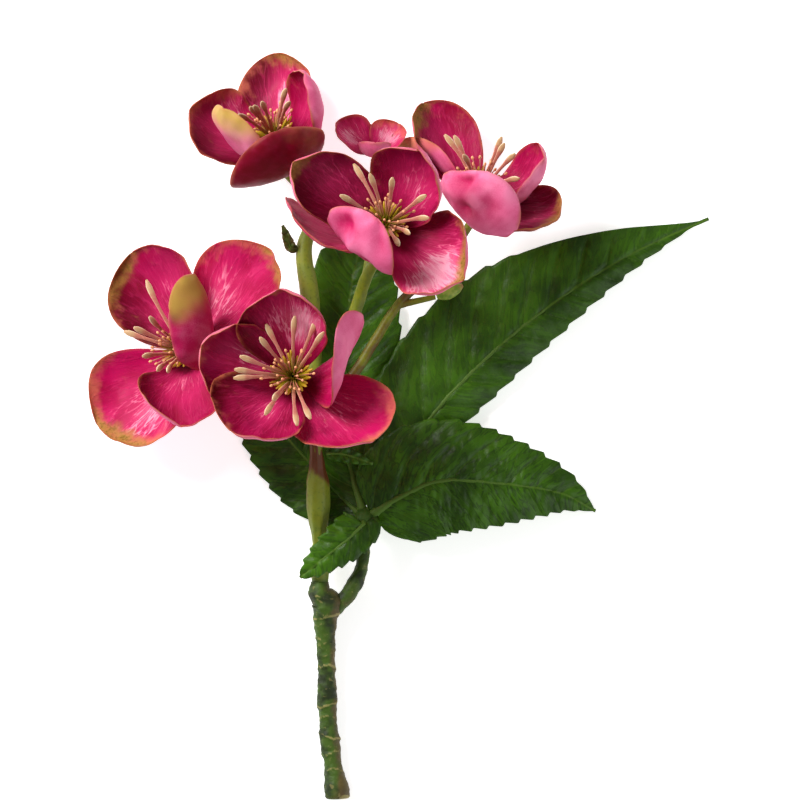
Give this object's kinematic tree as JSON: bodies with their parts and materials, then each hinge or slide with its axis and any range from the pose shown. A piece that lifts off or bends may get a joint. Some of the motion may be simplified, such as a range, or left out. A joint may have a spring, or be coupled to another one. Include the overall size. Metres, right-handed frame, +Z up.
{
  "type": "hellebore flower",
  "caption": "Cut hellebore spray lying flat: open cupped magenta blooms with long stamens, buds, toothed dark green leaves and a woody stem.",
  "frame": {"origin": "the middle of the footprint of the lying spray, on the surface it lies on", "axes": "+Y from the cut end of the stem towards the blooms, +X to the right as the camera sees it, +Z up from the surface"},
  "size_m": [0.2355, 0.284, 0.0968],
  "materials": {
    "sepal": "satin",
    "stamen": "matte",
    "bud": "satin",
    "leaf": "satin",
    "dark_bract": "satin",
    "bark": "matte",
    "stalk": "satin"
  },
  "bodies": {
    "root": {"bloom_left_sepals": "sepal", "bloom_left_centre": "stamen", "bloom_front_sepals": "sepal", "bloom_front_centre": "stamen", "bloom_top_sepals": "sepal", "bloom_top_centre": "stamen", "bloom_middle_sepals": "sepal", "bloom_middle_centre": "stamen", "bloom_right_sepals": "sepal", "bloom_right_centre": "stamen", "half_open_bud_sepals": "sepal", "green_bud": "bud", "leaf_upper": "leaf", "leaf_lower": "leaf", "leaf_lobe": "leaf", "leaf_back_left": "leaf", "leaf_back_middle": "leaf", "stalk_bract": "leaf", "upper_bract": "dark_bract", "woody_stem": "bark", "flower_stalk": "stalk"}
  },
  "joints": []
}
